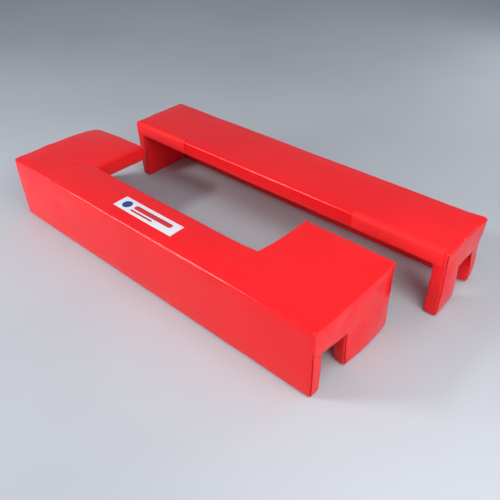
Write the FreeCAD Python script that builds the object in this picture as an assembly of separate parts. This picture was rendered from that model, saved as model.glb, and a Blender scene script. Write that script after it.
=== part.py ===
import FreeCAD, Part
import os

Vec = FreeCAD.Vector

# Two hollow foam pads that close round the base of a sliding upright. Millimetres, +Z up.
# The origin is on the floor, at the middle of the pair as they stand apart.

# Both pads
LENGTH = 1900.0  # along X
HEIGHT = 330.0
SLAB = 75.0  # the top's thickness
WALL = 60.0  # thickness of the skirt along the outer side and of the end walls
EDGE_R = 15.0  # rounding of the outer edges
FABRIC = 1.0  # coated cover fabric

# Front pad: a C round the slot that the upright stands in
FRONT_DEPTH = 510.0
BAR_WIDTH = 220.0
LEFT_ARM = 412.0
RIGHT_ARM = 436.0
FRONT_NOTCH_WIDTH = 162.0  # rail notch in the right-hand wall, beside the skirt
FRONT_NOTCH_HEIGHT = 175.0

# Rear pad: straight
REAR_DEPTH = 342.0
REAR_NOTCH_WIDTH = 148.0
REAR_NOTCH_HEIGHT = 198.0

# Where the pads stand: the rear pad is moved along by SHIFT and away from the arms by GAP
SHIFT = 135.0
GAP = 172.0

# Hook strips on the arm ends, loop patches on the rear pad's front edge
STRIP_T = 2.0
STRIP_MARGIN = 20.0  # from the rounded corners
HOOK_HEIGHT = 50.0
HOOK_BASE = HEIGHT - SLAB + 6.0
LOOP_BASE = HEIGHT - SLAB + 2.0
LOOP_TOP = HEIGHT - EDGE_R
LEFT_LOOP_END = 395.0  # from the left end
RIGHT_LOOP_START = LENGTH - 447.0

# Label patch on the front pad's bar
LABEL_START = LENGTH / 2 - 204.0
LABEL_LENGTH = 376.0
LABEL_NEAR = 59.0
LABEL_WIDTH = 81.0
LABEL_T = 0.4

# Zip on the inside of each skirt
ZIP_START = 200.0
ZIP_LENGTH = 1500.0
ZIP_HEIGHT = 150.0  # of its middle line above the floor
TAPE_WIDTH = 16.0  # of one half
TAPE_T = 0.8
COIL_WIDTH = 5.0  # of one half
COIL_T = 2.6
SLIDER_LENGTH = 20.0
SLIDER_HALF_WIDTH = 7.6
PLATE_T = 2.0  # of the slider's plate and flanges
RUN_CLEARANCE = 0.4  # between the slider and the zip, and round the pull's bar
BRIDGE_HALF_LENGTH = 6.0
BRIDGE_WIDTH = 3.0
BRIDGE_T = 1.6
PULL_BAR_R = 0.9
PULL_HALF_T = 0.8
PULL_WINDOW_HALF_WIDTH = 2.0
PULL_HALF_WIDTH = 4.2
PULL_WINDOW = 9.0  # from the bar to the end of the window
PULL_LENGTH = 38.0
PULL_HOLE_R = 2.2
STOP_ROOM = 4.0  # of the zip past the slider at rest

OVER = 20.0  # how far a cutting block runs past the face it cuts
SLAB_BASE = HEIGHT - SLAB
SLOT_END = LENGTH - RIGHT_ARM
PAIR_DEPTH = FRONT_DEPTH + GAP + REAR_DEPTH
LEFT_END = -(LENGTH + SHIFT) / 2
OUTER_FACE = PAIR_DEPTH / 2

# Each pad is built in its own frame: x from its left-hand end, y from the skirt's outer face towards
# the open side, z from the floor.


def block(x0, x1, y0, y1, z0, z1):
    return Part.makeBox(x1 - x0, y1 - y0, z1 - z0, Vec(x0, y0, z0))


def outer_edges(shape, inset):
    """The edges round the top face, and the upright edges that stand out."""
    top = HEIGHT - inset
    slot_sides = (LEFT_ARM - inset, SLOT_END + inset)
    chosen = []
    for edge in shape.Edges:
        low, high = edge.BoundBox.ZMin, edge.BoundBox.ZMax
        x, y = edge.CenterOfMass.x, edge.CenterOfMass.y
        on_top = low > top - 0.01
        upright = high - low > HEIGHT / 2
        in_slot_corner = abs(y - BAR_WIDTH + inset) < 0.01 and min(abs(x - s) for s in slot_sides) < 0.01
        if on_top or (upright and not in_slot_corner):
            chosen.append(edge)
    return chosen


def pad_solid(depth, notch, has_slot, inset):
    """The whole pad as one solid, with every face moved inwards by inset."""
    solid = block(inset, LENGTH - inset, inset, depth - inset, inset, HEIGHT - inset)
    if has_slot:
        slot = block(LEFT_ARM - inset, SLOT_END + inset, BAR_WIDTH - inset, depth + OVER, -OVER, HEIGHT + OVER)
        solid = solid.cut(slot)
    solid = solid.makeFillet(EDGE_R - inset, outer_edges(solid, inset))
    wall = WALL - inset
    hollow = block(wall, LENGTH - wall, wall, depth + OVER, -OVER, SLAB_BASE + inset)
    notch_width, notch_height = notch
    notch_end = WALL + notch_width + inset
    opening = block(LENGTH - WALL - OVER, LENGTH + OVER, wall, notch_end, -OVER, notch_height + inset)
    return solid.cut(hollow).cut(opening)


def split(solid, regions):
    """Cuts a solid into named pieces, one for each region. No two regions overlap."""
    pieces = {}
    for name, region in regions:
        piece = solid.common(region)
        if len(piece.Solids) != 1:
            raise ValueError(f"{name} has {len(piece.Solids)} solids")
        pieces[name] = piece.Solids[0]
    missing = solid.Volume - sum(piece.Volume for piece in pieces.values())
    if abs(missing) > 1.0:
        raise ValueError(f"{missing:.0f} cubic mm belong to no piece")
    return pieces


def foam_regions(depth, notch, has_slot):
    """The glued foam blocks: the slab, then the walls below it."""
    notch_width, notch_height = notch
    notch_end = WALL + notch_width
    right = LENGTH - WALL
    if has_slot:
        regions = [
            ("bar_foam", block(0, LENGTH, 0, BAR_WIDTH, SLAB_BASE, HEIGHT)),
            ("left_arm_foam", block(0, LEFT_ARM, BAR_WIDTH, depth, SLAB_BASE, HEIGHT)),
            ("right_arm_foam", block(SLOT_END, LENGTH, BAR_WIDTH, depth, SLAB_BASE, HEIGHT)),
        ]
    else:
        regions = [("slab_foam", block(0, LENGTH, 0, depth, SLAB_BASE, HEIGHT))]
    return regions + [
        ("skirt_foam", block(0, LENGTH, 0, WALL, 0, SLAB_BASE)),
        ("left_wall_foam", block(0, WALL, WALL, depth, 0, SLAB_BASE)),
        ("right_wall_foam", block(right, LENGTH, notch_end, depth, 0, SLAB_BASE)),
        ("header_foam", block(right, LENGTH, WALL, notch_end, notch_height, SLAB_BASE)),
    ]


def cover_regions(depth, notch, edge_name, edge_start):
    """The cut pieces of the cover: hems, ends, main cover, slab edge, linings and wall ends."""
    notch_width, notch_height = notch
    right = LENGTH - WALL
    inner = WALL - FABRIC
    right_face = LENGTH - FABRIC
    brow = HEIGHT - EDGE_R  # where the rounding of the top edges starts
    open_side = depth - EDGE_R
    notch_end = WALL + notch_width
    notch_far = notch_end + FABRIC
    ceiling = SLAB_BASE + FABRIC
    lining_right = right + FABRIC
    main_cover = block(0, LENGTH, 0, EDGE_R, FABRIC, brow).fuse(block(0, LENGTH, 0, depth, brow, HEIGHT))
    left_end = block(0, inner, open_side, depth, FABRIC, ceiling)
    left_end = left_end.fuse(block(0, EDGE_R, open_side, depth, ceiling, brow))
    right_end = block(lining_right, LENGTH, open_side, depth, FABRIC, ceiling)
    right_end = right_end.fuse(block(LENGTH - EDGE_R, LENGTH, open_side, depth, ceiling, brow))
    return [
        ("skirt_hem", block(0, LENGTH, 0, WALL, 0, FABRIC)),
        ("left_wall_hem", block(0, WALL, WALL, depth, 0, FABRIC)),
        ("right_wall_hem", block(right, LENGTH, notch_end, depth, 0, FABRIC)),
        ("left_end_cover", block(0, FABRIC, EDGE_R, open_side, FABRIC, brow)),
        ("right_end_cover", block(right_face, LENGTH, EDGE_R, open_side, FABRIC, brow)),
        ("main_cover", main_cover),
        (edge_name, block(EDGE_R, LENGTH - EDGE_R, edge_start, depth, ceiling, brow)),
        ("slab_lining", block(inner, LENGTH - inner, inner, depth, SLAB_BASE, ceiling)),
        ("skirt_lining", block(inner, right_face, inner, WALL, FABRIC, SLAB_BASE)),
        ("left_wall_lining", block(inner, WALL, WALL, depth, FABRIC, SLAB_BASE)),
        ("right_wall_lining", block(right, lining_right, WALL, depth, FABRIC, SLAB_BASE)),
        ("notch_lining", block(lining_right, right_face, WALL, notch_far, FABRIC, notch_height + FABRIC)),
        ("left_wall_end", left_end),
        ("right_wall_end", right_end),
    ]


def zip_half(side):
    """One stringer: a tape with its half of the coil along the middle line. side is 1 above, -1 below."""
    end = ZIP_START + ZIP_LENGTH
    tape_edge = ZIP_HEIGHT + side * TAPE_WIDTH
    coil_edge = ZIP_HEIGHT + side * COIL_WIDTH
    tape_face = WALL + TAPE_T
    tape = block(ZIP_START, end, WALL, tape_face, min(ZIP_HEIGHT, tape_edge), max(ZIP_HEIGHT, tape_edge))
    coil_low = min(ZIP_HEIGHT, coil_edge)
    coil = block(ZIP_START, end, tape_face, tape_face + COIL_T, coil_low, coil_low + COIL_WIDTH)
    return tape.fuse(coil).removeSplitter()


def slider_middle():
    """The slider's middle at rest, at the closed end of the zip."""
    return ZIP_START + ZIP_LENGTH - STOP_ROOM - SLIDER_LENGTH / 2


def slider_plate_y():
    return WALL + TAPE_T + COIL_T + RUN_CLEARANCE


def pull_axis_y():
    return slider_plate_y() + PLATE_T + RUN_CLEARANCE + PULL_BAR_R


def zip_slider():
    """A plate over the coil, a flange down each side of it, and the bridge that holds the pull."""
    middle = slider_middle()
    start = middle - SLIDER_LENGTH / 2
    end = middle + SLIDER_LENGTH / 2
    plate_y = slider_plate_y()
    top_y = plate_y + PLATE_T
    low = ZIP_HEIGHT - SLIDER_HALF_WIDTH
    high = ZIP_HEIGHT + SLIDER_HALF_WIDTH
    body = block(start, end, plate_y, top_y, low, high)
    corners = [e for e in body.Edges if e.BoundBox.YLength > PLATE_T / 2]
    body = body.makeFillet(3.0, corners)
    flange_y = WALL + TAPE_T + RUN_CLEARANCE
    flange_t = SLIDER_HALF_WIDTH - COIL_WIDTH - RUN_CLEARANCE
    for flange_low in (low, high - flange_t):
        body = body.fuse(block(start + 3, end - 3, flange_y, plate_y + 0.5, flange_low, flange_low + flange_t))
    bar_y = pull_axis_y() + PULL_BAR_R + RUN_CLEARANCE
    bridge_low = ZIP_HEIGHT - BRIDGE_WIDTH / 2
    bridge_high = ZIP_HEIGHT + BRIDGE_WIDTH / 2
    near = middle - BRIDGE_HALF_LENGTH
    far = middle + BRIDGE_HALF_LENGTH
    body = body.fuse(block(near, far, bar_y, bar_y + BRIDGE_T, bridge_low, bridge_high))
    for post in (near, far - BRIDGE_T):
        body = body.fuse(block(post, post + BRIDGE_T, top_y - 0.5, bar_y + 0.5, bridge_low, bridge_high))
    return body.removeSplitter()


def zip_pull():
    """A flat tab whose window takes the slider's bridge, with a round bar that turns under it."""
    pivot_x = slider_middle()
    pivot_y = pull_axis_y()
    low = ZIP_HEIGHT - PULL_HALF_WIDTH
    high = ZIP_HEIGHT + PULL_HALF_WIDTH
    tab = block(pivot_x - PULL_LENGTH, pivot_x, pivot_y - PULL_HALF_T, pivot_y + PULL_HALF_T, low, high)
    free_corners = [
        e for e in tab.Edges
        if e.BoundBox.YLength > PULL_HALF_T and e.CenterOfMass.x < pivot_x - PULL_LENGTH / 2
    ]
    tab = tab.makeFillet(3.0, free_corners)
    window_low = ZIP_HEIGHT - PULL_WINDOW_HALF_WIDTH
    window_high = ZIP_HEIGHT + PULL_WINDOW_HALF_WIDTH
    window = block(pivot_x - PULL_WINDOW, pivot_x + OVER, pivot_y - OVER, pivot_y + OVER, window_low, window_high)
    bar = Part.makeCylinder(PULL_BAR_R, 2 * PULL_HALF_WIDTH, Vec(pivot_x, pivot_y, low))
    hole_x = pivot_x - PULL_LENGTH + 2.5 * PULL_HOLE_R
    hole = Part.makeCylinder(PULL_HOLE_R, 2 * OVER, Vec(hole_x, pivot_y - OVER, ZIP_HEIGHT), Vec(0, 1, 0))
    return tab.cut(window).cut(hole).fuse(bar).removeSplitter()


def zip_pieces():
    return {
        "zip_upper_half": zip_half(1),
        "zip_lower_half": zip_half(-1),
        "zip_slider": zip_slider(),
        "zip_pull": zip_pull(),
    }


def cover_and_foam(depth, notch, has_slot, edge_name, edge_start):
    """notch is the rail notch's width and height."""
    outside = pad_solid(depth, notch, has_slot, 0.0)
    inside = pad_solid(depth, notch, has_slot, FABRIC)
    pieces = split(inside, foam_regions(depth, notch, has_slot))
    pieces.update(split(outside.cut(inside), cover_regions(depth, notch, edge_name, edge_start)))
    return pieces


def front_pad():
    notch = (FRONT_NOTCH_WIDTH, FRONT_NOTCH_HEIGHT)
    pieces = cover_and_foam(FRONT_DEPTH, notch, True, "slot_band", BAR_WIDTH - FABRIC)
    pieces.update(zip_pieces())
    face = FRONT_DEPTH
    hook_top = HOOK_BASE + HOOK_HEIGHT
    right_start = SLOT_END + STRIP_MARGIN
    pieces["left_hook_strip"] = block(
        STRIP_MARGIN, LEFT_ARM - STRIP_MARGIN, face, face + STRIP_T, HOOK_BASE, hook_top
    )
    pieces["right_hook_strip"] = block(
        right_start, LENGTH - STRIP_MARGIN, face, face + STRIP_T, HOOK_BASE, hook_top
    )
    label_end = LABEL_START + LABEL_LENGTH
    label_far = LABEL_NEAR + LABEL_WIDTH
    pieces["label_patch"] = block(LABEL_START, label_end, LABEL_NEAR, label_far, HEIGHT, HEIGHT + LABEL_T)
    return pieces


def rear_pad():
    notch = (REAR_NOTCH_WIDTH, REAR_NOTCH_HEIGHT)
    pieces = cover_and_foam(REAR_DEPTH, notch, False, "front_band", REAR_DEPTH - FABRIC)
    pieces.update(zip_pieces())
    face = REAR_DEPTH
    pieces["left_loop_patch"] = block(STRIP_MARGIN, LEFT_LOOP_END, face, face + STRIP_T, LOOP_BASE, LOOP_TOP)
    pieces["right_loop_patch"] = block(
        RIGHT_LOOP_START, LENGTH - STRIP_MARGIN, face, face + STRIP_T, LOOP_BASE, LOOP_TOP
    )
    return pieces


def place_front(shape):
    placed = shape.copy()
    placed.translate(Vec(LEFT_END, -OUTER_FACE, 0))
    return placed


def place_rear(shape):
    """The rear pad's skirt is on the far side, so the pad is mirrored before it is placed."""
    placed = shape.mirror(Vec(0, 0, 0), Vec(0, 1, 0))
    placed.translate(Vec(LEFT_END + SHIFT, OUTER_FACE, 0))
    return placed


os.makedirs("parts", exist_ok=True)
for prefix, pieces, place in (("front", front_pad(), place_front), ("rear", rear_pad(), place_rear)):
    for name, piece in pieces.items():
        placed = place(piece)
        if not placed.isValid() or len(placed.Solids) != 1:
            raise ValueError(f"{prefix}_{name} is not one valid solid")
        placed.Solids[0].exportStep(f"parts/{prefix}_{name}.step")
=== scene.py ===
import math
import bpy
import numpy as np
from mathutils import Matrix, Vector


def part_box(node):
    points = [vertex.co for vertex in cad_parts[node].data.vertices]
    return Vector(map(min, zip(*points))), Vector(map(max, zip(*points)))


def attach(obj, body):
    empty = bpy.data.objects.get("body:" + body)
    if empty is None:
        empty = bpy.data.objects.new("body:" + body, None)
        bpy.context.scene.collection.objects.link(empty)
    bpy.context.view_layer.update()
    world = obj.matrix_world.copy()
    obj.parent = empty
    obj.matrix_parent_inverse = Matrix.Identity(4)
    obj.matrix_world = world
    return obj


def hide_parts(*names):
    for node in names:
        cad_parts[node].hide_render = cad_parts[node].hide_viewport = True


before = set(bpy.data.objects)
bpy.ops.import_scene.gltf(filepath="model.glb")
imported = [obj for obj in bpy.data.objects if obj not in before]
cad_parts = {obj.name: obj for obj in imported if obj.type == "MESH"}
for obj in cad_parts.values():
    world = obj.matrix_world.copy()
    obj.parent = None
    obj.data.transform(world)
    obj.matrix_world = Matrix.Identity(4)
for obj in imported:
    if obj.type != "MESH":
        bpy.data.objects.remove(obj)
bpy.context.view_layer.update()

# Lengths are in metres.
FABRIC = 0.001  # thickness of the cover
ROUNDING = 0.012  # radius of the foam blocks' edges under the fabric
FLOOR_ROUNDING = 0.003  # how much more than that beside the floor
LADDER = (0.003, 0.006, 0.009, 0.0125, 0.018)  # mesh lines beside an edge
SEAM_INSET = LADDER[0]  # the end panels' seams, from the corner
TURN = LADDER[2]  # the bands stop this far below the top
MESH_STEP = 0.014  # a gap between mesh lines is at most 1.2 times this
BORDER_GAP = 0.0015  # a strip's border this near to an edge has no mesh line of its own
LADDER_GAP = 0.0022  # nor has a step of the ladder this near to another line
SAME = 1e-6  # places nearer than this are one place
CLOSE = 1e-4  # near enough to a face or a line to be on it
TINY = 1e-9  # keeps a length of nought out of a division
SWELL_LIMIT = 0.008  # the fabric is pushed out by less than this
CLOTH_FRAMES = 20
CLOTH = {
    "quality": 4, "mass": 0.25, "use_pressure": True, "uniform_pressure_force": 0.1,
    "tension_stiffness": 25, "compression_stiffness": 25,
    "shear_stiffness": 12, "bending_stiffness": 2.0,
}
SEAM_DEPTH = 0.0024  # the deepest seam groove


# ---- pads and their mesh grids

class Pad:
    """A pad and its own frame: x from its left-hand end, y from the skirt's outer face, z up.

    side is 1, or -1 for a pad that faces the other way.
    """

    def __init__(self, name, side, has_slot):
        self.name = name
        self.side = side
        low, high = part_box(name + "_main_cover")
        self.corner = (low.x, low.y if side > 0 else high.y)
        self.length = high.x - low.x
        self.depth = high.y - low.y
        self.height = high.z
        self.wall = self.box("skirt_lining")[1][1]
        self.slab_base = self.box("slab_lining")[0][2]
        notch = self.box("notch_lining")[1]
        self.notch_end = notch[1] - FABRIC
        self.notch_height = notch[2] - FABRIC
        self.right = self.length - self.wall
        self.zip_height = self.box("zip_upper_half")[0][2]
        self.slot = None
        if has_slot:
            left = self.box("left_arm_foam")[1][0] + FABRIC
            right = self.box("right_arm_foam")[0][0] - FABRIC
            self.slot = (left, right, self.box("bar_foam")[1][1] + FABRIC)

    def box(self, node):
        """A CAD node's corners in the pad's own frame."""
        low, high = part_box(f"{self.name}_{node}")
        ends = sorted(self.side * (y - self.corner[1]) for y in (low.y, high.y))
        return (low.x - self.corner[0], ends[0], low.z), (high.x - self.corner[0], ends[1], high.z)

    def to_frame(self, points):
        """Points in the pad's own frame, moved to the shared frame."""
        points = np.asarray(points, float)
        moved = points.copy()
        moved[..., 0] += self.corner[0]
        moved[..., 1] = self.corner[1] + self.side * points[..., 1]
        return moved

    def is_solid(self, x, y, z):
        """Whether places are inside the flat-sided pad."""
        inside = (x > 0) & (x < self.length) & (y > 0) & (y < self.depth)
        inside = inside & (z > 0) & (z < self.height)
        above = z > self.slab_base
        in_wall = (y < self.wall) | (x < self.wall) | (x > self.right)
        in_notch = (x > self.right) & (y > self.wall) & (y < self.notch_end)
        in_notch = in_notch & (z < self.notch_height)
        solid = inside & (above | (in_wall & ~in_notch))
        if self.slot:
            left, right, near = self.slot
            solid &= ~((x > left) & (x < right) & (y > near))
        return solid


def grid_lines(edges, borders):
    """Mesh lines along one axis. edges: (place, side the rounding is on); borders: extra lines."""
    lines = {round(place, 6) for place, _ in edges}
    for place in borders:
        if min(abs(place - line) for line in lines) > BORDER_GAP:
            lines.add(round(place, 6))
    for place, side in edges:
        for offset in LADDER:
            line = place + side * offset
            if min(abs(line - other) for other in lines) > LADDER_GAP:
                lines.add(round(line, 6))
    lines = sorted(lines)
    filled = [lines[0]]
    for line in lines[1:]:
        parts = max(1, math.ceil((line - filled[-1]) / MESH_STEP - 0.2))
        filled += list(np.linspace(filled[-1], line, parts + 1)[1:])
    return np.array(filled)


def largest_boxes(pad, xs, ys, zs):
    """The boxes in the pad that can't be made larger. Rounded, they join into the rounded pad."""
    centres = [(a[1:] + a[:-1]) / 2 for a in (xs, ys, zs)]
    solid = pad.is_solid(*np.meshgrid(*centres, indexing="ij"))
    full = []
    spans = [[(i, j) for i in range(n) for j in range(i + 1, n + 1)] for n in solid.shape]
    for i0, i1 in spans[0]:
        for j0, j1 in spans[1]:
            for k0, k1 in spans[2]:
                if solid[i0:i1, j0:j1, k0:k1].all():
                    full.append((i0, j0, k0, i1, j1, k1))
    full = np.array(full)
    keep = []
    for b in full:
        holds = (full[:, :3] <= b[:3]).all(1) & (full[:, 3:] >= b[3:]).all(1)
        if holds.sum() == 1:
            keep.append([[xs[b[0]], ys[b[1]], zs[b[2]]], [xs[b[3]], ys[b[4]], zs[b[5]]]])
    return np.array(keep)


def surface_grid(pad, lines):
    """The pad's skin as a closed mesh: points, quads, and each quad's axis and side."""
    centres = [(a[1:] + a[:-1]) / 2 for a in lines]
    solid = np.pad(pad.is_solid(*np.meshgrid(*centres, indexing="ij")), 1)
    counts = [len(a) for a in lines]
    turn = ((0, 0), (1, 0), (1, 1), (0, 1))
    quads, axes, sides = [], [], []
    for axis in range(3):
        a, b = (axis + 1) % 3, (axis + 2) % 3
        moved = np.moveaxis(solid, (axis, a, b), (0, 1, 2))
        for side, (inner, outer) in ((1, (moved[:-1], moved[1:])), (-1, (moved[1:], moved[:-1]))):
            place, u, v = np.nonzero(inner & ~outer)
            u, v = u - 1, v - 1
            corner = []
            for du, dv in turn if side > 0 else [(dv, du) for du, dv in turn]:
                index = [None] * 3
                index[axis], index[a], index[b] = place, u + du, v + dv
                corner.append((index[0] * counts[1] + index[1]) * counts[2] + index[2])
            quads.append(np.stack(corner, 1))
            axes.append(np.full(len(place), axis))
            sides.append(np.full(len(place), side))
    quads = np.concatenate(quads)
    used, flat = np.unique(quads, return_inverse=True)
    quads = flat.reshape(quads.shape)
    i, rest = np.divmod(used, counts[1] * counts[2])
    j, k = np.divmod(rest, counts[2])
    points = np.stack([lines[0][i], lines[1][j], lines[2][k]], 1)
    return points, quads, np.concatenate(axes), np.concatenate(sides)


def rounded(points, boxes, radius):
    """The skin's points with its outward edges rounded, by a radius for each point."""
    reach = np.full(len(points), np.inf)
    core = points.copy()
    for low, high in boxes:
        near = np.clip(points, low + radius[:, None], high - radius[:, None])
        distance = np.linalg.norm(points - near, axis=1)
        closer = distance < reach - TINY
        reach[closer] = distance[closer]
        core[closer] = near[closer]
    away = (points - core) / np.maximum(reach, TINY)[:, None]
    return core + away * radius[:, None]


def vertex_normals(points, quads):
    """Each point's normal, from the quads round it."""
    a, b, c, d = (points[quads[:, i]] for i in range(4))
    normal = np.cross(c - a, d - b)
    total = np.zeros_like(points)
    for corner in range(4):
        np.add.at(total, quads[:, corner], normal)
    return total / np.maximum(np.linalg.norm(total, axis=1), TINY)[:, None]


def waves(points, seed, length):
    """Smooth noise from about -1 to 1, the same at each run."""
    draw = np.random.RandomState(seed)
    count = 10
    total = np.zeros(len(points))
    for _ in range(count):
        direction = draw.normal(size=3)
        direction /= np.linalg.norm(direction)
        scale = 2 * math.pi / (length * draw.uniform(0.7, 1.5))
        total += np.sin(points @ direction * scale + draw.uniform(0, 2 * math.pi))
    return total / math.sqrt(count) * 0.8


def ripples(points, *kinds):
    """Some kinds of unevenness added up. Each kind: depth, seed, wavelength."""
    return sum(depth * waves(points, seed, length) for depth, seed, length in kinds)


def smooth_step(value, start, end):
    """0 up to start, 1 from end on, and smooth between."""
    t = np.clip((value - start) / (end - start), 0, 1)
    return t * t * (3 - 2 * t)


def new_mesh(name, points, faces):
    """Mesh data without an object."""
    mesh = bpy.data.meshes.new(name)
    mesh.from_pydata([tuple(p) for p in points], [], [tuple(f) for f in faces])
    mesh.update()
    return mesh


def new_piece(name, points, faces, sharp=50):
    """A smooth-shaded object in the scene. Edges sharper than that angle stay sharp."""
    mesh = new_mesh(name, points, faces)
    mesh.polygons.foreach_set("use_smooth", [True] * len(mesh.polygons))
    if sharp:
        mesh.set_sharp_from_angle(angle=math.radians(sharp))
    piece = bpy.data.objects.new(name, mesh)
    bpy.context.scene.collection.objects.link(piece)
    return piece


def inflate(points, quads, held):
    """Cloth simulation: the closed skin swells under pressure, with the held points fixed."""
    mesh = new_mesh("inflating", points, quads)
    cloth_object = bpy.data.objects.new("inflating", mesh)
    bpy.context.scene.collection.objects.link(cloth_object)
    group = cloth_object.vertex_groups.new(name="held")
    group.add([int(i) for i in np.nonzero(held)[0]], 1.0, "REPLACE")
    cloth = cloth_object.modifiers.new("cloth", "CLOTH")
    for key, value in CLOTH.items():
        setattr(cloth.settings, key, value)
    cloth.settings.vertex_group_mass = group.name
    cloth.settings.effector_weights.gravity = 0
    cloth.collision_settings.use_collision = False
    cloth.point_cache.frame_start = 1
    cloth.point_cache.frame_end = CLOTH_FRAMES
    scene = bpy.context.scene
    for number in range(1, CLOTH_FRAMES + 1):
        scene.frame_set(number)
    finished = cloth_object.evaluated_get(bpy.context.evaluated_depsgraph_get())
    swollen = np.zeros(len(points) * 3)
    finished.to_mesh().vertices.foreach_get("co", swollen)
    finished.to_mesh_clear()
    bpy.data.objects.remove(cloth_object)
    bpy.data.meshes.remove(mesh)
    scene.frame_set(1)
    return swollen.reshape(-1, 3)


# ---- covers

def panel_names(pad, centre, axes, sides):
    """Each quad's sewn panel, from its middle, axis and side."""
    x, y, z = centre.T
    names = np.full(len(centre), "main_cover", dtype=object)
    turn = pad.height - TURN
    band = "slot_band" if pad.slot else "front_band"
    below = z < pad.slab_base
    down = (axes == 2) & (sides < 0)
    open_side = (axes == 1) & (sides > 0)
    along = axes == 0
    left_end, right_end = along & (x < CLOSE), along & (x > pad.length - CLOSE)
    names[down] = "slab_lining"
    names[down & (z < CLOSE)] = "skirt_hem"
    names[down & (abs(z - pad.notch_height) < CLOSE)] = "notch_lining"
    names[(axes == 1) & (sides < 0) & (y > pad.wall)] = "notch_lining"
    names[open_side & (z < turn)] = band
    names[open_side & below] = "skirt_lining"
    if pad.slot:
        names[along & ~below & (z < turn) & ~left_end & ~right_end] = band
    inside = (y > SEAM_INSET) & (y < pad.depth - SEAM_INSET) & (z < pad.height - SEAM_INSET)
    left = ("left", x < pad.wall, pad.wall, left_end)
    right = ("right", x > pad.right, pad.right, right_end)
    for hand, over_wall, wall_face, at_end in (left, right):
        names[down & (z < CLOSE) & (y > pad.wall) & over_wall] = hand + "_wall_hem"
        names[open_side & below & (y > pad.depth - CLOSE) & over_wall] = hand + "_wall_end"
        names[along & below & (abs(x - wall_face) < CLOSE)] = hand + "_wall_lining"
        names[at_end & inside] = hand + "_end_cover"
        names[at_end & (y > pad.depth - SEAM_INSET) & (z < turn)] = hand + "_wall_end"
    low = z < pad.notch_height + SEAM_INSET
    names[right_end & low & (y < pad.wall) & (y > pad.wall - SEAM_INSET)] = "skirt_lining"
    names[right_end & low & (y > pad.wall) & (y < pad.notch_end + SEAM_INSET)] = "notch_lining"
    return names


def crease(points, normals, facing, start, end, width, depth):
    """How far a fold, a groove between two ridges, pushes points. facing picks the faces it is on."""
    start, end = np.array(start), np.array(end)
    run = end - start
    ridge = 0.5
    t = np.clip((points - start) @ run / (run @ run), 0, 1)
    away = np.linalg.norm(points - start - t[:, None] * run, axis=1)
    taper = np.sin(np.clip(t, 0.02, 0.98) * math.pi) ** 0.6
    push = -depth * np.exp(-((away / width) ** 2))
    push = push + ridge * depth * np.exp(-(((away - 2.0 * width) / width) ** 2))
    return push * taper * (normals @ np.array(facing, float) > 0.4)


def hill(points, centre, radius):
    """A smooth hill: 1 at its centre and 0.14 at its radius, which is one for each axis."""
    reach = np.linalg.norm((points - np.array(centre)) / np.array(radius), axis=1)
    return np.exp(-(reach ** 2) * 2)


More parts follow.
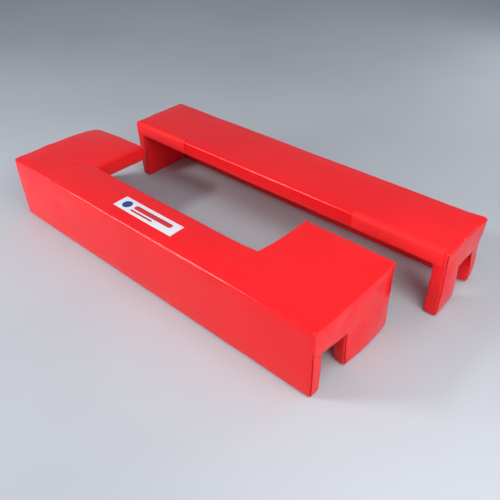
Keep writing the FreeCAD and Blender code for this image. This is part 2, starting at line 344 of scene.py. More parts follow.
class Cover:
    """A pad's whole skin: the flat-sided grid, its finished points and normals, and its panels."""

    def __init__(self, pad, x_borders, y_borders, z_borders, sculpt):
        self.pad = pad
        xs = [(0, 1), (pad.wall, -1), (pad.right, 1), (pad.length, -1)]
        ys = [(0, 1), (pad.wall, -1), (pad.notch_end, 1), (pad.depth, -1)]
        zs = [(0, 1), (pad.notch_height, 1), (pad.slab_base, 1), (pad.height, -1)]
        if pad.slot:
            left, right, near = pad.slot
            xs += [(left, -1), (right, 1)]
            ys += [(near, -1)]
        places = [np.array(sorted({round(place, 6) for place, _ in edges})) for edges in (xs, ys, zs)]
        self.boxes = largest_boxes(pad, *places)
        lines = [grid_lines(xs, x_borders), grid_lines(ys, y_borders), grid_lines(zs, z_borders)]
        self.flat, self.quads, self.axes, self.sides = surface_grid(pad, lines)
        self.names = panel_names(pad, self.flat[self.quads].mean(1), self.axes, self.sides)
        self.points = self.shape(sculpt)
        self.normals = vertex_normals(self.points, self.quads)

    def shape(self, sculpt):
        """The finished points: rounded foam, swollen fabric, settled places, folds and seams."""
        pad, flat = self.pad, self.flat
        height = flat[:, 2]
        off_floor = smooth_step(height, start=0.02, end=0.06)
        radius = ROUNDING + FLOOR_ROUNDING * (1 - off_floor)
        base = rounded(flat, self.boxes, radius)
        normals = vertex_normals(base, self.quads)
        uneven = ripples(base, (0.0007, 11, 0.16), (0.0004, 12, 0.05))
        start = base + normals * uneven[:, None]
        swell = inflate(start, self.quads, height < CLOSE) - start
        size = np.linalg.norm(swell, axis=1)
        limited = SWELL_LIMIT * np.tanh(size / SWELL_LIMIT)
        swell *= (limited / np.maximum(size, TINY))[:, None]
        shaped = base + swell + normals * self.surface_waves(flat)[:, None]
        shaped += sculpt(pad, flat, normals)
        shaped += normals * self.seams(flat)[:, None]
        return self.keep_clear(shaped)

    def surface_waves(self, flat):
        """Soft unevenness all over, and puckers below the end panels' top seams."""
        x, z = flat[:, 0], flat[:, 2]
        on_end = (x < SAME) | (x > self.pad.length - SAME)
        pucker_reach = 0.02  # they fade over this distance below the top
        fade = np.exp(-(self.pad.height - z) / pucker_reach) * on_end
        upright = flat * np.array([1.0, 1.0, 0.25])  # makes the puckers four times as tall
        puckers = 0.0011 * fade * waves(upright, 23, 0.028)
        return ripples(flat, (0.0009, 21, 0.30), (0.0004, 22, 0.09)) + puckers

    def seams(self, flat):
        """How far the seams pull the skin in, with small gathers. Sets self.seam, their groove depth and
        painted shade.
        """
        pad = self.pad
        seam_points = np.zeros(len(flat), bool)
        owner = np.full(len(flat), "", dtype=object)
        for name in sorted(set(self.names)):
            for corner in self.quads[self.names == name].T:
                clash = (owner[corner] != "") & (owner[corner] != name)
                seam_points[corner[clash]] = True
                owner[corner] = name
        x, y, z = flat.T
        if pad.slot:
            at_notch_height = abs(z - pad.notch_height) < SAME
            seam_points |= (x > pad.length - SAME) & at_notch_height & (y < pad.wall)
        self.seam = np.where(seam_points, self.seam_groove_and_shade(x, y, z), 0)
        return -SEAM_DEPTH * self.seam ** 0.5 * (0.8 + 0.2 * waves(flat, 31, 0.035))

    def seam_groove_and_shade(self, x, y, z):
        """How deep a seam's groove is and how much painted shade darkens it, from 0 to 1."""
        pad = self.pad
        # Each value sets both the groove's depth and the painted shade in it.
        groove_and_shade = np.full(len(x), 0.5)
        on_end = (x < SAME) | (x > pad.length - SAME)
        near_edge = on_end & (y < SEAM_INSET + CLOSE)
        far_edge = y > pad.depth - SEAM_INSET - CLOSE
        lower = 1 - smooth_step(z, start=pad.notch_height, end=pad.notch_height + 0.03)
        groove_and_shade[near_edge] = (0.12 + 0.88 * lower)[near_edge]
        groove_and_shade[on_end & far_edge] = 0.3 if pad.slot else 0.75
        at_notch = (y > pad.notch_end - CLOSE) & (y < pad.notch_end + SEAM_INSET + CLOSE)
        groove_and_shade[on_end & at_notch] = 0.9
        groove_and_shade[on_end & (y < pad.wall) & (abs(z - pad.notch_height) < SAME)] = 0.4
        under_band = ~on_end & far_edge & (abs(z - pad.slab_base) < SAME)
        groove_and_shade[under_band & ((x < pad.wall) | (x > pad.right))] = 0.04
        at_top = z > pad.height - TURN - CLOSE
        groove_and_shade[at_top] = 0.06
        groove_and_shade[at_top & on_end] = 0.22
        return groove_and_shade

    def keep_clear(self, shaped):
        """Nothing goes under the floor, into the zip, or past the faces that meet."""
        pad = self.pad
        fade, zip_reach, zip_gap = 0.03, 0.05, 0.0002
        y, z = self.flat[:, 1], self.flat[:, 2]
        shaped[:, 2] = np.maximum(shaped[:, 2], 0)
        meeting = smooth_step(z, pad.slab_base - fade, pad.slab_base) * (y > pad.depth - SAME)
        over = np.maximum(shaped[:, 1] - pad.depth, 0)
        shaped[:, 1] -= over * meeting
        near_zip = (abs(y - pad.wall) < SAME) & (abs(z - pad.zip_height) < zip_reach)
        behind_zip = np.minimum(shaped[:, 1], pad.wall - zip_gap)
        shaped[:, 1] = np.where(near_zip, behind_zip, shaped[:, 1])
        return shaped

    def faces(self, quads):
        """The rear pad is mirrored, so its faces turn round."""
        return quads if self.pad.side > 0 else quads[:, ::-1]

    def select(self, axis, side, low, high):
        """Quads on one kind of face within a box of the flat-sided pad."""
        centre = self.flat[self.quads].mean(1)
        inside = ((centre > np.array(low)) & (centre < np.array(high))).all(1)
        return inside & (self.axes == axis) & (self.sides == side)

    def shell(self, name, chosen, lift=0.0, thickness=FABRIC, edge_drop=0.0):
        """A closed sheet made from chosen quads, lifted off the skin. edge_drop lowers its rim."""
        quads = self.quads[chosen]
        used, flat = np.unique(quads, return_inverse=True)
        quads = flat.reshape(quads.shape)
        points, normals = self.points[used], self.normals[used]
        edges = np.concatenate([quads[:, [i, (i + 1) % 4]] for i in range(4)])
        keys = np.sort(edges, 1)
        _, inverse, count = np.unique(keys, axis=0, return_inverse=True, return_counts=True)
        rim = edges[count[inverse.ravel()] == 1]
        rise = np.full(len(points), lift)
        rise[np.unique(rim)] -= edge_drop
        outer = points + normals * rise[:, None]
        inner = points + normals * (lift - thickness)
        n = len(points)
        walls = np.stack([rim[:, 1], rim[:, 0], rim[:, 0] + n, rim[:, 1] + n], 1)
        faces = np.concatenate([quads, quads[:, ::-1] + n, walls])
        sheet = self.pad.to_frame(np.concatenate([outer, inner]))
        piece = new_piece(name, sheet, self.faces(faces))
        if not lift:
            # The seam attribute carries the painted shade for the seam grooves.
            seam = piece.data.attributes.new("seam", "FLOAT", "POINT")
            seam.data.foreach_set("value", np.tile(self.seam[used], 2).astype(np.float32))
        return piece

    def line(self, axis, place, start, end, lift):
        """The skin's points and normals along a mesh line. place has None for the line's own axis."""
        chosen = np.ones(len(self.flat), bool)
        for a in range(3):
            if a != axis:
                lines = np.unique(self.flat[:, a].round(6))
                nearest = lines[np.argmin(abs(lines - place[a]))]
                chosen &= abs(self.flat[:, a] - nearest) < SAME
        chosen &= (self.flat[:, axis] >= start) & (self.flat[:, axis] <= end)
        order = np.nonzero(chosen)[0]
        order = order[np.argsort(self.flat[order, axis])]
        return self.points[order] + self.normals[order] * lift, self.normals[order]


# ---- threads and zips

def beads(centres, along, up, half_length, half_width, half_height):
    """Points and faces of small pointed beads, each a stitch or one turn of a zip's coil."""
    shoulder, tip_drop = 0.55, 0.6  # shares of the half length and the half height
    across = np.cross(along, up)
    across /= np.linalg.norm(across, axis=1)[:, None]
    up = np.cross(across, along)
    rings = [centres - along * half_length - up * half_height * tip_drop]
    for shift in (-shoulder, shoulder):
        middle = centres + along * half_length * shift
        rings += [middle + up * half_height, middle + across * half_width]
        rings += [middle - up * half_height, middle - across * half_width]
    tip = len(rings)
    rings.append(centres + along * half_length - up * half_height * tip_drop)
    points = np.stack(rings, 1)
    faces = []
    for i in range(4):
        j = (i + 1) % 4
        faces += [(0, 1 + j, 1 + i, 1 + i), (1 + i, 1 + j, 5 + j, 5 + i), (5 + i, 5 + j, tip, tip)]
    shift = np.arange(len(centres))[:, None, None] * len(rings)
    faces = (np.array(faces)[None] + shift).reshape(-1, 4)
    return points.reshape(-1, 3), faces


def joined(parts):
    """The points and faces of several parts as one mesh."""
    points, faces, total = [], [], 0
    for made, new_faces in parts:
        points.append(made)
        faces += [tuple(i + total for i in face) for face in new_faces]
        total += len(made)
    return np.concatenate(points), faces


def clean_faces(faces):
    """Faces without their repeated corners: a quad with a corner given twice is a triangle."""
    return [tuple(dict.fromkeys(int(i) for i in face)) for face in faces]


def resample(path, normals, pitch):
    """Evenly spaced centres, directions and normals along a path."""
    nearby = 0.001  # the direction is taken from the path this far ahead and behind
    steps = np.linalg.norm(np.diff(path, axis=0), axis=1)
    reach = np.concatenate([[0], np.cumsum(steps)])
    count = max(1, int(reach[-1] / pitch))
    at = (np.arange(count) + 0.5) * reach[-1] / count

    def values_at(places, values):
        return np.stack([np.interp(places, reach, column) for column in values.T], 1)

    along = values_at(at + nearby, path) - values_at(at - nearby, path)
    along /= np.maximum(np.linalg.norm(along, axis=1), TINY)[:, None]
    up = values_at(at, normals)
    return values_at(at, path), along, up / np.linalg.norm(up, axis=1)[:, None]


SEAM_THREAD = (0.0078, 0.0029, 0.00065)  # a stitch's pitch, half length and radius
SEAM_THREAD_LIFT = 0.0004
BORDER_THREAD = (0.0055, 0.0019, 0.0005)


def stitches(name, cover, paths, thread_size):
    """Rows of stitches along paths on a cover, as one piece."""
    pitch, half_length, radius = thread_size
    rows = [beads(*resample(path, normals, pitch), half_length, radius, radius)
            for path, normals in paths if len(path) > 1]
    points, faces = joined(rows)
    faces = clean_faces(cover.faces(np.array(faces)))
    return new_piece(name, cover.pad.to_frame(points), faces, sharp=0)


TAPE_THICKNESS = 0.0008
# The tape's section: how far from the zip's middle, and how far out from the lining.
TAPE_SECTION = (
    (0.0003, 0.0), (0.0155, 0.0), (0.0160, 0.0003),
    (0.0155, TAPE_THICKNESS), (0.0060, TAPE_THICKNESS), (0.0003, TAPE_THICKNESS),
)
COIL_PITCH = 0.0025
COIL_OUT = 0.0021  # the coil's middle, out from the lining
COIL_ACROSS = 0.0022  # and from the zip's middle
COIL_SIZE = (0.0027, 0.0008, 0.0012)  # one turn's half length, half width and half height
COIL_LEAN = 0.12  # how far a turn leans along the zip


def zip_half_mesh(pad, side):
    """One zip stringer: a woven tape with a wavy edge, and its half of the coil."""
    low, high = pad.box("zip_upper_half" if side > 0 else "zip_lower_half")
    middle = pad.zip_height
    columns, wave_depth, wave_rate = 240, 0.0004, 37
    x = np.linspace(low[0], high[0], columns)
    points, faces = [], []
    for across, out in TAPE_SECTION:
        wave = wave_depth * np.sin(x * wave_rate) * (across > 0.01)
        z = middle + side * (across + wave)
        points.append(np.stack([x, np.full_like(x, pad.wall + out), z], 1))
    starts = [row * columns for row in range(len(TAPE_SECTION))]
    points = np.concatenate(points)
    for a, b in zip(starts, starts[1:] + starts[:1]):
        for i in range(columns - 1):
            faces.append((a + i, a + i + 1, b + i + 1, b + i))
    faces.append(tuple(starts))
    faces.append(tuple(start + columns - 1 for start in reversed(starts)))
    if side < 0:
        faces = [face[::-1] for face in faces]
    turns = np.arange(low[0] + COIL_PITCH, high[0] - COIL_PITCH, COIL_PITCH)
    turns = turns + (COIL_PITCH / 2 if side > 0 else 0)
    y, z = pad.wall + COIL_OUT, middle + side * COIL_ACROSS
    centre = np.stack([turns, np.full_like(turns, y), np.full_like(turns, z)], 1)
    along = np.tile([COIL_LEAN, 0.0, 1.0], (len(turns), 1))
    along /= np.linalg.norm(along, axis=1)[:, None]
    up = np.tile([0.0, 1.0, 0.0], (len(turns), 1))
    coil, quads = beads(centre, along, up, *COIL_SIZE)
    faces += clean_faces(quads + len(points))
    if pad.side < 0:
        faces = [face[::-1] for face in faces]
    return np.concatenate([points, coil]), faces


# ---- materials

def linear(red, green, blue):
    """An sRGB colour, 0 to 255, as the shader's linear colour."""
    parts = [c / 255 for c in (red, green, blue)]
    return tuple(c / 12.92 if c <= 0.04045 else ((c + 0.055) / 1.055) ** 2.4 for c in parts) + (1.0,)


class Shader:
    """A material's node tree with a Principled shader, in the piece's own coordinates."""

    def __init__(self, name, roughness, **settings):
        self.material = bpy.data.materials.new(name)
        self.material.use_nodes = True
        self.tree = self.material.node_tree
        self.surface = self.tree.nodes["Principled BSDF"]
        self.surface.inputs["Roughness"].default_value = roughness
        for key, value in settings.items():
            self.surface.inputs[key.replace("_", " ")].default_value = value
        self.place = self.node("ShaderNodeTexCoord").outputs["Object"]

    def node(self, kind, **inputs):
        """A new node with some of its inputs set."""
        made = self.tree.nodes.new(kind)
        for key, value in inputs.items():
            self.put(made.inputs[key.replace("_", " ")], value)
        return made

    def put(self, socket, value):
        """Links another node's output to the socket, or sets its value."""
        if isinstance(value, bpy.types.NodeSocket):
            self.tree.links.new(value, socket)
        else:
            socket.default_value = value

    def noise(self, scale, detail=3.0, stretch=None):
        """Noise with that many cells in a metre."""
        place = self.place
        if stretch:
            mapped = self.node("ShaderNodeMapping", Vector=place)
            mapped.inputs["Scale"].default_value = stretch
            place = mapped.outputs["Vector"]
        return self.node("ShaderNodeTexNoise", Vector=place, Scale=scale, Detail=detail).outputs["Fac"]

    def bands(self, scale, direction):
        """Even stripes across that direction."""
        wave = self.node("ShaderNodeTexWave", Vector=self.place, Scale=scale)
        wave.bands_direction = direction
        return wave.outputs["Fac"]

    def spread(self, value, low, high, start=0.3, end=0.7):
        """The value's range from start to end, spread over low to high."""
        limits = {"From_Min": start, "From_Max": end, "To_Min": low, "To_Max": high}
        return self.node("ShaderNodeMapRange", Value=value, **limits).outputs["Result"]

    def math(self, operation, a, b):
        made = self.tree.nodes.new("ShaderNodeMath")
        made.operation = operation
        self.put(made.inputs[0], a)
        self.put(made.inputs[1], b)
        return made.outputs["Value"]

    def mix(self, amount, first, second):
        made = self.tree.nodes.new("ShaderNodeMix")
        made.data_type = "RGBA"
        self.put(made.inputs["Factor"], amount)
        colour_a, colour_b, colour_out = made.inputs[6], made.inputs[7], made.outputs[2]
        self.put(colour_a, first)
        self.put(colour_b, second)
        return colour_out

    def bump(self, height, strength, distance, under=None):
        made = self.node("ShaderNodeBump", Strength=strength, Distance=distance, Height=height)
        if under is not None:
            self.put(made.inputs["Normal"], under)
        return made.outputs["Normal"]

    def finish(self, colour, normal=None, roughness=None):
        self.put(self.surface.inputs["Base Color"], colour)
        if normal is not None:
            self.put(self.surface.inputs["Normal"], normal)
        if roughness is not None:
            self.put(self.surface.inputs["Roughness"], roughness)
        return self.material


def coated_fabric(name, light, dark, roughness):
    """PVC-coated fabric: glossy, with a faint weave, soft dents and painted shade in the seam grooves.
    """
    s = Shader(name, roughness, IOR=1.33)
    colour = s.mix(s.spread(s.noise(2.3), 0.0, 1.0), dark, light)
    # Painted shade: the seam attribute darkens the fabric in the seam grooves.
    seam = s.node("ShaderNodeAttribute")
    seam.attribute_name = "seam"
    shade = s.spread(seam.outputs["Fac"], 0.0, 0.88, start=0.12, end=0.8)
    colour = s.mix(shade, colour, linear(48, 2, 6))
    yarns = 330.0
    weave = s.math("MULTIPLY", s.bands(yarns, "X"), s.bands(yarns, "Z"))
    weave = s.math("ADD", weave, s.math("MULTIPLY", s.bands(yarns, "Y"), 0.5))
    normal = s.bump(weave, 0.05, 0.0003)
    normal = s.bump(s.noise(5.5, 2.0), 0.12, 0.02, normal)
    return s.finish(colour, normal)


def pile_fabric(name, light, dark, scale, depth):
    """Hook or loop tape: a dense matte pile."""
    s = Shader(name, 0.62, IOR=1.30)
    cells = s.node("ShaderNodeTexVoronoi", Vector=s.place, Scale=scale).outputs["Distance"]
    colour = s.mix(s.spread(cells, 0.0, 1.0, start=0.1, end=0.8), light, dark)
    colour = s.mix(s.spread(s.noise(30.0), 0.0, 0.3), colour, dark)
    return s.finish(colour, s.bump(cells, 0.6, depth))


def thread(name, colour):
    """Twisted sewing thread."""
    s = Shader(name, 0.6)
    twist = s.bands(900.0, "DIAGONAL")
    mixed = s.mix(s.spread(twist, 0.0, 0.5), colour, linear(150, 12, 18))
    return s.finish(mixed, s.bump(twist, 0.3, 0.0003))


def woven_tape(name, light, dark):
    """A zip's matte woven tape."""
    s = Shader(name, 0.8)
    weave = s.math("MULTIPLY", s.bands(500.0, "X"), s.bands(500.0, "Z"))
    return s.finish(s.mix(weave, dark, light), s.bump(weave, 0.5, 0.0004))


def brushed_metal(name):
    """Nickel with a fine grain along the zip."""
    s = Shader(name, 0.3, Metallic=1.0)
    grain = s.noise(300.0, 2.0, stretch=(0.2, 1.0, 6.0))
    colour = s.mix(s.spread(grain, 0.0, 1.0), linear(150, 152, 156), linear(205, 207, 210))
    return s.finish(colour, s.bump(grain, 0.15, 0.0003), s.spread(s.noise(60.0), 0.22, 0.42))


def printed_vinyl(name, colour, tint):
    """The label's smooth vinyl, and the print on it."""
    s = Shader(name, 0.35)
    mixed = s.mix(s.spread(s.noise(18.0, 4.0), 0.0, 0.35), colour, tint)
    normal = s.bump(s.noise(60.0), 0.06, 0.001)
    return s.finish(mixed, normal, s.spread(s.noise(25.0), 0.28, 0.42))


def paint(piece, material):
    """Gives a piece that material alone."""
    piece.data.materials.clear()
    piece.data.materials.append(material)


materials = {
    "cover": coated_fabric("coated_red", linear(240, 31, 36), linear(230, 25, 31), 0.17),
    "lining": coated_fabric("coated_red_lining", linear(238, 28, 34), linear(224, 22, 28), 0.36),
    "hem": coated_fabric("coated_red_hem", linear(222, 22, 30), linear(200, 16, 24), 0.42),
    "hook": pile_fabric("hook_tape", linear(214, 22, 30), linear(160, 8, 14), 850.0, 0.0006),
    "loop": pile_fabric("loop_tape", linear(250, 44, 48), linear(240, 32, 37), 520.0, 0.0003),
    "thread": thread("red_thread", linear(226, 24, 32)),
    "label": printed_vinyl("white_vinyl", linear(226, 224, 230), linear(212, 213, 222)),
    "blue_print": printed_vinyl("blue_ink", linear(28, 70, 140), linear(20, 52, 112)),
    "red_print": printed_vinyl("red_ink", linear(208, 40, 52), linear(180, 26, 40)),
    "zip_tape": woven_tape("zip_tape", linear(62, 14, 18), linear(22, 6, 8)),
    "zip_metal": brushed_metal("zip_nickel"),
}


# ---- the two pads

front = Pad("front", side=1, has_slot=True)
rear = Pad("rear", side=-1, has_slot=False)


def dress(piece, pad, slot, *nodes, material=None):
    """Gives a piece its pad, and the slot's material unless another is named. It stands for the CAD
    nodes that are named.
    """
    paint(piece, materials[material or slot])
    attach(piece, pad.name + "_pad")
    if nodes:
        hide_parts(*[f"{pad.name}_{node}" for node in nodes])


def panels(cover):
    """Each sewn panel as its own piece. The main cover also stands for the foam inside."""
    pad = cover.pad
    foams = [node[len(pad.name) + 1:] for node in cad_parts
             if node.startswith(pad.name) and node.endswith("_foam")]
    for name in sorted(set(cover.names)):
        piece = cover.shell(f"{pad.name}_{name}_panel", cover.names == name)
        stands_for = [name] + (sorted(foams) if name == "main_cover" else [])
        kind = name.split("_")[-1]
        dress(piece, pad, kind if kind in ("lining", "hem") else "cover", *stands_for)


def end_stitches(cover):
    """Topstitching beside the end panels' seams and round the rail notch."""
    pad = cover.pad
    end, inset = pad.length, LADDER[1]
    foot = 0.012  # the upright rows start this far above the floor
    top, far = pad.height - inset, pad.depth - inset
    over, before, beyond = pad.notch_height + inset, pad.wall - inset, pad.notch_end + inset
    rows = []
    for x in (0.0, end):
        rows.append((1, (x, None, top), inset, far))
        rows += [(2, (x, y, None), foot, top) for y in (inset, far)]
    rows.append((1, (end, None, over), before, beyond))
    rows += [(2, (end, y, None), foot, over) for y in (before, beyond)]
    paths = [cover.line(*row, SEAM_THREAD_LIFT) for row in rows]
    piece = stitches(pad.name + "_end_stitches", cover, paths, SEAM_THREAD)
    dress(piece, pad, "cover", material="thread")


PATCH_GAP = 0.0003  # between the skin and a patch
RIM_DROP = 0.45  # how far the stitches pull its rim down, as a share of its lift


def patch(cover, node, slot, regions, lift, rows):
    """A strip or patch sewn on the cover, with its stitched border."""
    pad = cover.pad
    chosen = np.zeros(len(cover.quads), bool)
    for region in regions:
        chosen |= cover.select(*region)
    thickness, edge_drop = lift - PATCH_GAP, lift * RIM_DROP
    piece = cover.shell(f"{pad.name}_{node}_sewn", chosen, lift, thickness, edge_drop)
    dress(piece, pad, slot, node)
    paths = [cover.line(*row) for row in rows]
    border = stitches(f"{pad.name}_{node}_stitches", cover, paths, BORDER_THREAD)
    dress(border, pad, slot, material="label" if slot == "label" else "thread")


def rectangle_rows(axis_a, axis_b, low, high, fixed, lift):
    """The four stitch rows inside a rectangle's border. fixed is the third coordinate."""
    rows = []
    for axis, other in ((axis_a, axis_b), (axis_b, axis_a)):
        for value in (low[other] + STITCH_IN, high[other] - STITCH_IN):
            at = [None, None, None]
            at[3 - axis_a - axis_b] = fixed
            at[other] = value
            rows.append((axis, tuple(at), low[axis] + STITCH_IN, high[axis] - STITCH_IN, lift))
    return rows


def settle(flat, normals, hills, facing, folds, ripple):
    """How far each point has moved: the hills' pushes, the folds, and ripples on the ends."""
    shift = np.zeros_like(flat)
    for centre, radius, push, share in hills:
        shift += (hill(flat, centre, radius) * share)[:, None] * np.array(push)
    for start, end, width, depth in folds:
        shift += normals * crease(flat, normals, facing, start, end, width, depth)[:, None]
    depth, seed, length = ripple
    ends = abs(normals[:, 0]) > 0.5
    return shift + normals * (depth * waves(flat, seed, length) * ends)[:, None]


def front_sculpt(pad, flat, normals):
    """Where the front pad has settled. Each hill: centre, radius, push, share of the push."""
    left, right, near = pad.slot
    end, far, top, notch = pad.length, pad.depth, pad.height, pad.notch_height
    rise = flat[:, 2] / top
    hills = [
        # The far left corner droops and is rounded off.
        ((0, far, top), (0.22, 0.16, 0.40), (0, 0, -0.013), rise),
        ((0, far, top), (0.05, 0.05, 0.60), (0.012, -0.012, 0), 1),
        # The slot's right-hand corners are pulled.
        ((right, far, top), (0.16, 0.16, 0.2), (0.010, 0, 0.005), 1),
        ((right, near, top), (0.12, 0.12, 0.40), (-0.011, 0.008, 0), 1),
        # The right arm's far edge is raised, and its outer corner stands out.
        ((0.5 * (right + end), far, top), (0.45, 0.17, 0.35), (0, 0, 0.009), rise),
        ((end, far, top), (0.10, 0.10, 0.16), (0.007, 0, 0.003), 1),
        # The block beyond the notch spreads at the floor and leans into the notch.
        ((end, 0.5 * (pad.notch_end + far), 0), (0.10, 0.22, 0.30), (0.013, 0, 0), 1),
        ((end, pad.notch_end, 0.14), (0.12, 0.06, 0.25), (0, -0.021, 0), 1),
        # The header over the notch is higher on the near side, and so is the leg's cross seam.
        ((end, pad.wall, notch), (0.12, 0.10, 0.12), (0, 0, 0.013), 1),
        ((end, 0, notch), (0.10, 0.055, 0.11), (0, 0, 0.034), 1),
    ]
    folds = [
        ((left - 0.01, near + 0.01, top), (left - 0.15, near - 0.10, top), 0.011, 0.0022),
        ((left - 0.01, near + 0.01, top), (left - 0.19, near - 0.02, top), 0.010, 0.0016),
        ((right + 0.01, near + 0.01, top), (right + 0.13, near - 0.11, top), 0.011, 0.0020),
        ((0.05, far - 0.12, top), (0.33, far - 0.10, top), 0.012, 0.0014),
        ((0.07, far - 0.20, top), (0.30, far - 0.17, top), 0.012, 0.0012),
        ((end - 0.26, far - 0.01, top), (end - 0.12, far - 0.06, top), 0.012, 0.002),
    ]
    return settle(flat, normals, hills, (0, 0, 1), folds, (0.0012, 41, 0.12))


def rear_sculpt(pad, flat, normals):
    """Where the rear pad has settled, in the same way."""
    end, open_side, notch = pad.length, pad.depth, pad.notch_height
    off_floor = smooth_step(flat[:, 2], 0.0, 0.05)
    leg_middle = 0.5 * (pad.notch_end + open_side) - 0.03
    hills = [
        # The near leg bows outwards, and the far leg stands a little clear of the floor.
        ((end, leg_middle, 0.12), (0.07, 0.12, 0.17), (0.011, 0, 0), off_floor),
        ((end, 0.02, 0), (0.12, 0.10, 0.11), (0, 0, 0.013), 1),
        # The notch has narrowed at the top, and the far top corner stands out.
        ((end, pad.wall, notch), (0.12, 0.10, 0.12), (0, 0.018, -0.012), 1),
        ((end, pad.notch_end, notch), (0.12, 0.06, 0.12), (0, 0.009, 0), 1),
        ((end, 0, pad.height), (0.07, 0.07, 0.09), (0.006, 0, 0.006), 1),
    ]
    folds = [
        ((end - 0.05, open_side, 0.20), (end - 0.01, open_side, 0.10), 0.010, 0.002),
        ((end - 0.055, open_side, 0.13), (end - 0.02, open_side, 0.04), 0.010, 0.0016),
    ]
    return settle(flat, normals, hills, (0, 1, 0), folds, (0.0014, 42, 0.11))


STITCH_IN = 0.004  # a border's stitches, from the edge of the strip or patch
STRIP_LIFT = 0.002
STRIP_STITCH = STRIP_LIFT - 0.0004  # sunk, so that the strips can meet
LABEL_LIFT = 0.0010
label = front.box("label_patch")
left_hook, right_hook = front.box("left_hook_strip"), front.box("right_hook_strip")
left_loop, right_loop = rear.box("left_loop_patch"), rear.box("right_loop_patch")


def ends_of(boxes, axis):
    """The borders of some boxes along one axis, with their stitch rows."""
    found = []
    for low, high in boxes:
        found += [low[axis], low[axis] + STITCH_IN, high[axis] - STITCH_IN, high[axis]]
    return found


front_borders = [
    ends_of((label, left_hook, right_hook), 0),
    ends_of((label,), 1),
    ends_of((left_hook,), 2),
]
front_cover = Cover(front, *front_borders, front_sculpt)

WRAP = 0.026  # how far the loop patches turn over the top edge
wrap_end = rear.depth - WRAP
loop_base = left_loop[0][2]
rear_borders = [
    ends_of((left_loop, right_loop), 0),
    [wrap_end, wrap_end + STITCH_IN],
    [loop_base, loop_base + STITCH_IN],
]
rear_cover = Cover(rear, *rear_borders, rear_sculpt)

for cover in (front_cover, rear_cover):
    panels(cover)
    end_stitches(cover)

for node, (low, high) in (("left_hook_strip", left_hook), ("right_hook_strip", right_hook)):
    far = front.depth
    region = (1, 1, (low[0], far - FABRIC, low[2]), (high[0], far + FABRIC, high[2]))
    rows = rectangle_rows(0, 2, low, high, far, STRIP_STITCH)
    patch(front_cover, node, "hook", [region], STRIP_LIFT, rows)

for node, (low, high) in (("left_loop_patch", left_loop), ("right_loop_patch", right_loop)):
    top, far = rear.height, rear.depth
    upright = (1, 1, (low[0], far - FABRIC, low[2]), (high[0], far + FABRIC, top))
    over = (2, 1, (low[0], wrap_end, top - FABRIC), (high[0], far, top + FABRIC))
    left, right = low[0] + STITCH_IN, high[0] - STITCH_IN
    base, back = low[2] + STITCH_IN, wrap_end + STITCH_IN
    rows = [(0, (None, far, base), left, right), (0, (None, back, top), left, right)]
    for x in (left, right):
        rows += [(2, (x, far, None), base, top), (1, (x, None, top), back, far)]
    rows = [(*row, STRIP_STITCH) for row in rows]
    patch(rear_cover, node, "loop", [upright, over], STRIP_LIFT, rows)

low, high = label
top = front.height
region = (2, 1, (low[0], low[1], top - FABRIC), (high[0], high[1], top + FABRIC))
rows = rectangle_rows(0, 1, low, high, top, LABEL_LIFT)
patch(front_cover, "label_patch", "label", [region], LABEL_LIFT, rows)


# ---- the label's print and the zips

PRINT_THICKNESS = 0.0004
# Each shape: x from the label's left, y from its middle, half length and half width.
DISC = (0.052, 0.0, 0.024, 0.024)
BARS = ((0.216, 0.008, 0.120, 0.013), (0.166, -0.019, 0.070, 0.005))


def top_points(cover, x, y):
    """Points on the pad's top skin above x, y, between the mesh lines."""
    on_top = abs(cover.flat[:, 2] - cover.pad.height) < SAME
    flat, points = cover.flat[on_top], cover.points[on_top]
    xs, ys = np.unique(flat[:, 0].round(6)), np.unique(flat[:, 1].round(6))
    table = np.zeros((len(xs), len(ys), 3))
    i, j = np.searchsorted(xs, flat[:, 0].round(6)), np.searchsorted(ys, flat[:, 1].round(6))
    table[i, j] = points
    a = np.clip(np.searchsorted(xs, x) - 1, 0, len(xs) - 2)
    b = np.clip(np.searchsorted(ys, y) - 1, 0, len(ys) - 2)
    s = ((x - xs[a]) / (xs[a + 1] - xs[a]))[:, None]
    t = ((y - ys[b]) / (ys[b + 1] - ys[b]))[:, None]
    near = table[a, b] * (1 - s) + table[a + 1, b] * s
    far = table[a, b + 1] * (1 - s) + table[a + 1, b + 1] * s
    return near * (1 - t) + far * t


def print_shape(cover, along, across, half_length, half_width):
    """A flat printed bar with round ends, or a disc, lying on the label."""
    rows, columns = 40, 7
    u = np.sin(np.linspace(-1, 1, rows) * math.pi / 2)
    straight = half_length - half_width
    past = np.clip((abs(u) * half_length - straight) / half_width, 0, 0.999)
    half = half_width * np.sqrt(1 - past ** 2)
    v = np.linspace(-1, 1, columns)
    low, high = label
    x = np.repeat(low[0] + along + u * half_length, columns)
    y = ((low[1] + high[1]) / 2 + across + half[:, None] * v[None]).ravel()
    top = top_points(cover, x, y)
    outer = top + np.array([0, 0, LABEL_LIFT + PRINT_THICKNESS / 2])
    inner = top + np.array([0, 0, LABEL_LIFT - PRINT_THICKNESS / 2])
    faces, n = [], rows * columns
    for i in range(rows - 1):
        for j in range(columns - 1):
            a = i * columns + j
            quad = (a, a + columns, a + columns + 1, a + 1)
            faces += [quad, tuple(k + n for k in reversed(quad))]
    rim = [i * columns for i in range(rows)] + [(rows - 1) * columns + j for j in range(1, columns)]
    rim += [i * columns + columns - 1 for i in range(rows - 2, -1, -1)] + list(range(columns - 2, 0, -1))
    for a, b in zip(rim, rim[1:] + rim[:1]):
        faces.append((b, a, a + n, b + n))
    return np.concatenate([outer, inner]), faces


def label_print(name, shapes, material):
    """Some printed shapes as one piece."""
    points, faces = joined([print_shape(front_cover, *shape) for shape in shapes])
    piece = new_piece(name, front.to_frame(points), faces, sharp=40)
    dress(piece, front, "label", material=material)


label_print("front_label_disc", [DISC], "blue_print")
label_print("front_label_bars", BARS, "red_print")


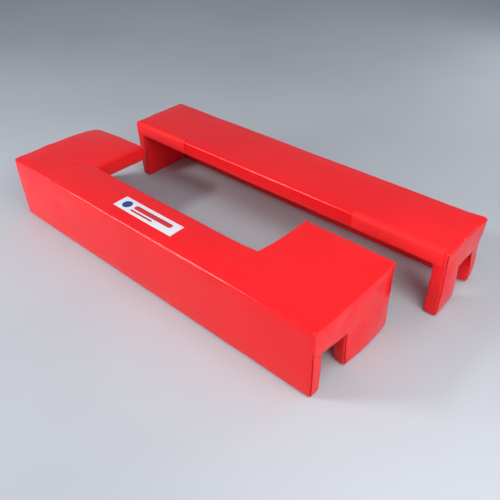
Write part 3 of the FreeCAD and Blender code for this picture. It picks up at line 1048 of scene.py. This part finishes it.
def zip_stitches(cover):
    """The two rows of stitches that hold the zip's tapes on the lining."""
    pad = cover.pad
    out, across = 0.0009, 0.0125  # from the lining, and from the zip's middle
    low, high = pad.box("zip_upper_half")
    ends = (low[0] + STITCH_IN, high[0] - STITCH_IN)
    outwards = np.tile([0.0, 1.0, 0.0], (2, 1))
    rows = []
    for side in (1, -1):
        y, z = pad.wall + out, pad.zip_height + side * across
        rows.append((np.array([(x, y, z) for x in ends]), outwards))
    piece = stitches(pad.name + "_zip_stitches", cover, rows, BORDER_THREAD)
    dress(piece, pad, "zip_tape", material="thread")


for cover in (front_cover, rear_cover):
    zip_stitches(cover)

for pad in (front, rear):
    for side, node in ((1, "zip_upper_half"), (-1, "zip_lower_half")):
        points, faces = zip_half_mesh(pad, side)
        piece = new_piece(f"{pad.name}_{node}_woven", pad.to_frame(points), faces, sharp=40)
        dress(piece, pad, "zip_tape", node)
    for node in ("zip_slider", "zip_pull"):
        paint(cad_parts[f"{pad.name}_{node}"], materials["zip_metal"])


# ---- floor, light and camera

def floor():
    """A plain pale floor, just under the pads."""
    s = Shader("floor_grey", 0.75)
    colour = s.mix(s.spread(s.noise(0.7), 0.0, 1.0), linear(180, 184, 190), linear(188, 192, 197))
    material = s.finish(colour, s.bump(s.noise(180.0), 0.05, 0.001))
    size, level = 9.0, -0.0006
    corners = [(x * size, y * size, level) for x, y in ((-1, -1), (1, -1), (1, 1), (-1, 1))]
    piece = new_piece("floor", corners, [(0, 1, 2, 3)], sharp=0)
    paint(piece, material)


def softbox(name, stand, target, width, height, power):
    """A white area light at its stand, facing a target. The power is in watts."""
    lamp = bpy.data.lights.new(name, "AREA")
    lamp.shape = "RECTANGLE"
    lamp.size, lamp.size_y = width, height
    lamp.energy = power
    holder = bpy.data.objects.new(name, lamp)
    bpy.context.scene.collection.objects.link(holder)
    holder.location = stand
    holder.rotation_euler = (Vector(stand) - Vector(target)).to_track_quat("Z", "Y").to_euler()


def studio():
    """A pale sky and five softboxes."""
    world = bpy.data.worlds.new("studio")
    world.use_nodes = True
    bpy.context.scene.world = world
    background = world.node_tree.nodes["Background"]
    background.inputs["Color"].default_value = (0.80, 0.89, 1.0, 1.0)
    background.inputs["Strength"].default_value = 0.37
    softbox("left_window", (-2.9, -3.3, 1.2), (-0.2, -0.3, 0.2), 1.6, 0.9, 81)
    softbox("strip", (-2.2, -2.75, 2.95), (0.2, -0.2, 0.33), 1.1, 0.10, 74)
    softbox("overhead", (1.8, -0.5, 2.2), (1.0, -0.1, 0.3), 1.5, 1.5, 34)
    softbox("right", (3.3, -1.25, 1.12), (0.9, 0, 0.2), 2.0, 1.2, 39)
    softbox("back", (1.6, 3.8, 1.2), (0, 0.4, 0.2), 2.4, 1.0, 40)


def camera():
    """The camera of the view being matched. Its focal length is in frame widths."""
    stand, focal, frame_width = (1.6387, -1.6307, 1.7007), 575.8 / 500, 36
    azimuth, elevation, roll = (math.radians(angle) for angle in (42.795, 37.164, -1.352))
    level = math.cos(elevation)
    forward = Vector((-math.sin(azimuth) * level, math.cos(azimuth) * level, -math.sin(elevation)))
    right = forward.cross(Vector((0, 0, 1))).normalized()
    up = right.cross(forward)
    across = math.cos(roll) * right + math.sin(roll) * up
    upward = -math.sin(roll) * right + math.cos(roll) * up
    data = bpy.data.cameras.new("camera")
    data.sensor_width = frame_width
    data.lens = frame_width * focal
    data.clip_end = 60
    holder = bpy.data.objects.new("camera", data)
    turn = Matrix((across, upward, -forward)).transposed().to_4x4()
    holder.matrix_world = Matrix.Translation(stand) @ turn
    bpy.context.scene.collection.objects.link(holder)
    bpy.context.scene.camera = holder


floor()
studio()
camera()
bpy.context.scene.view_settings.view_transform = "Standard"
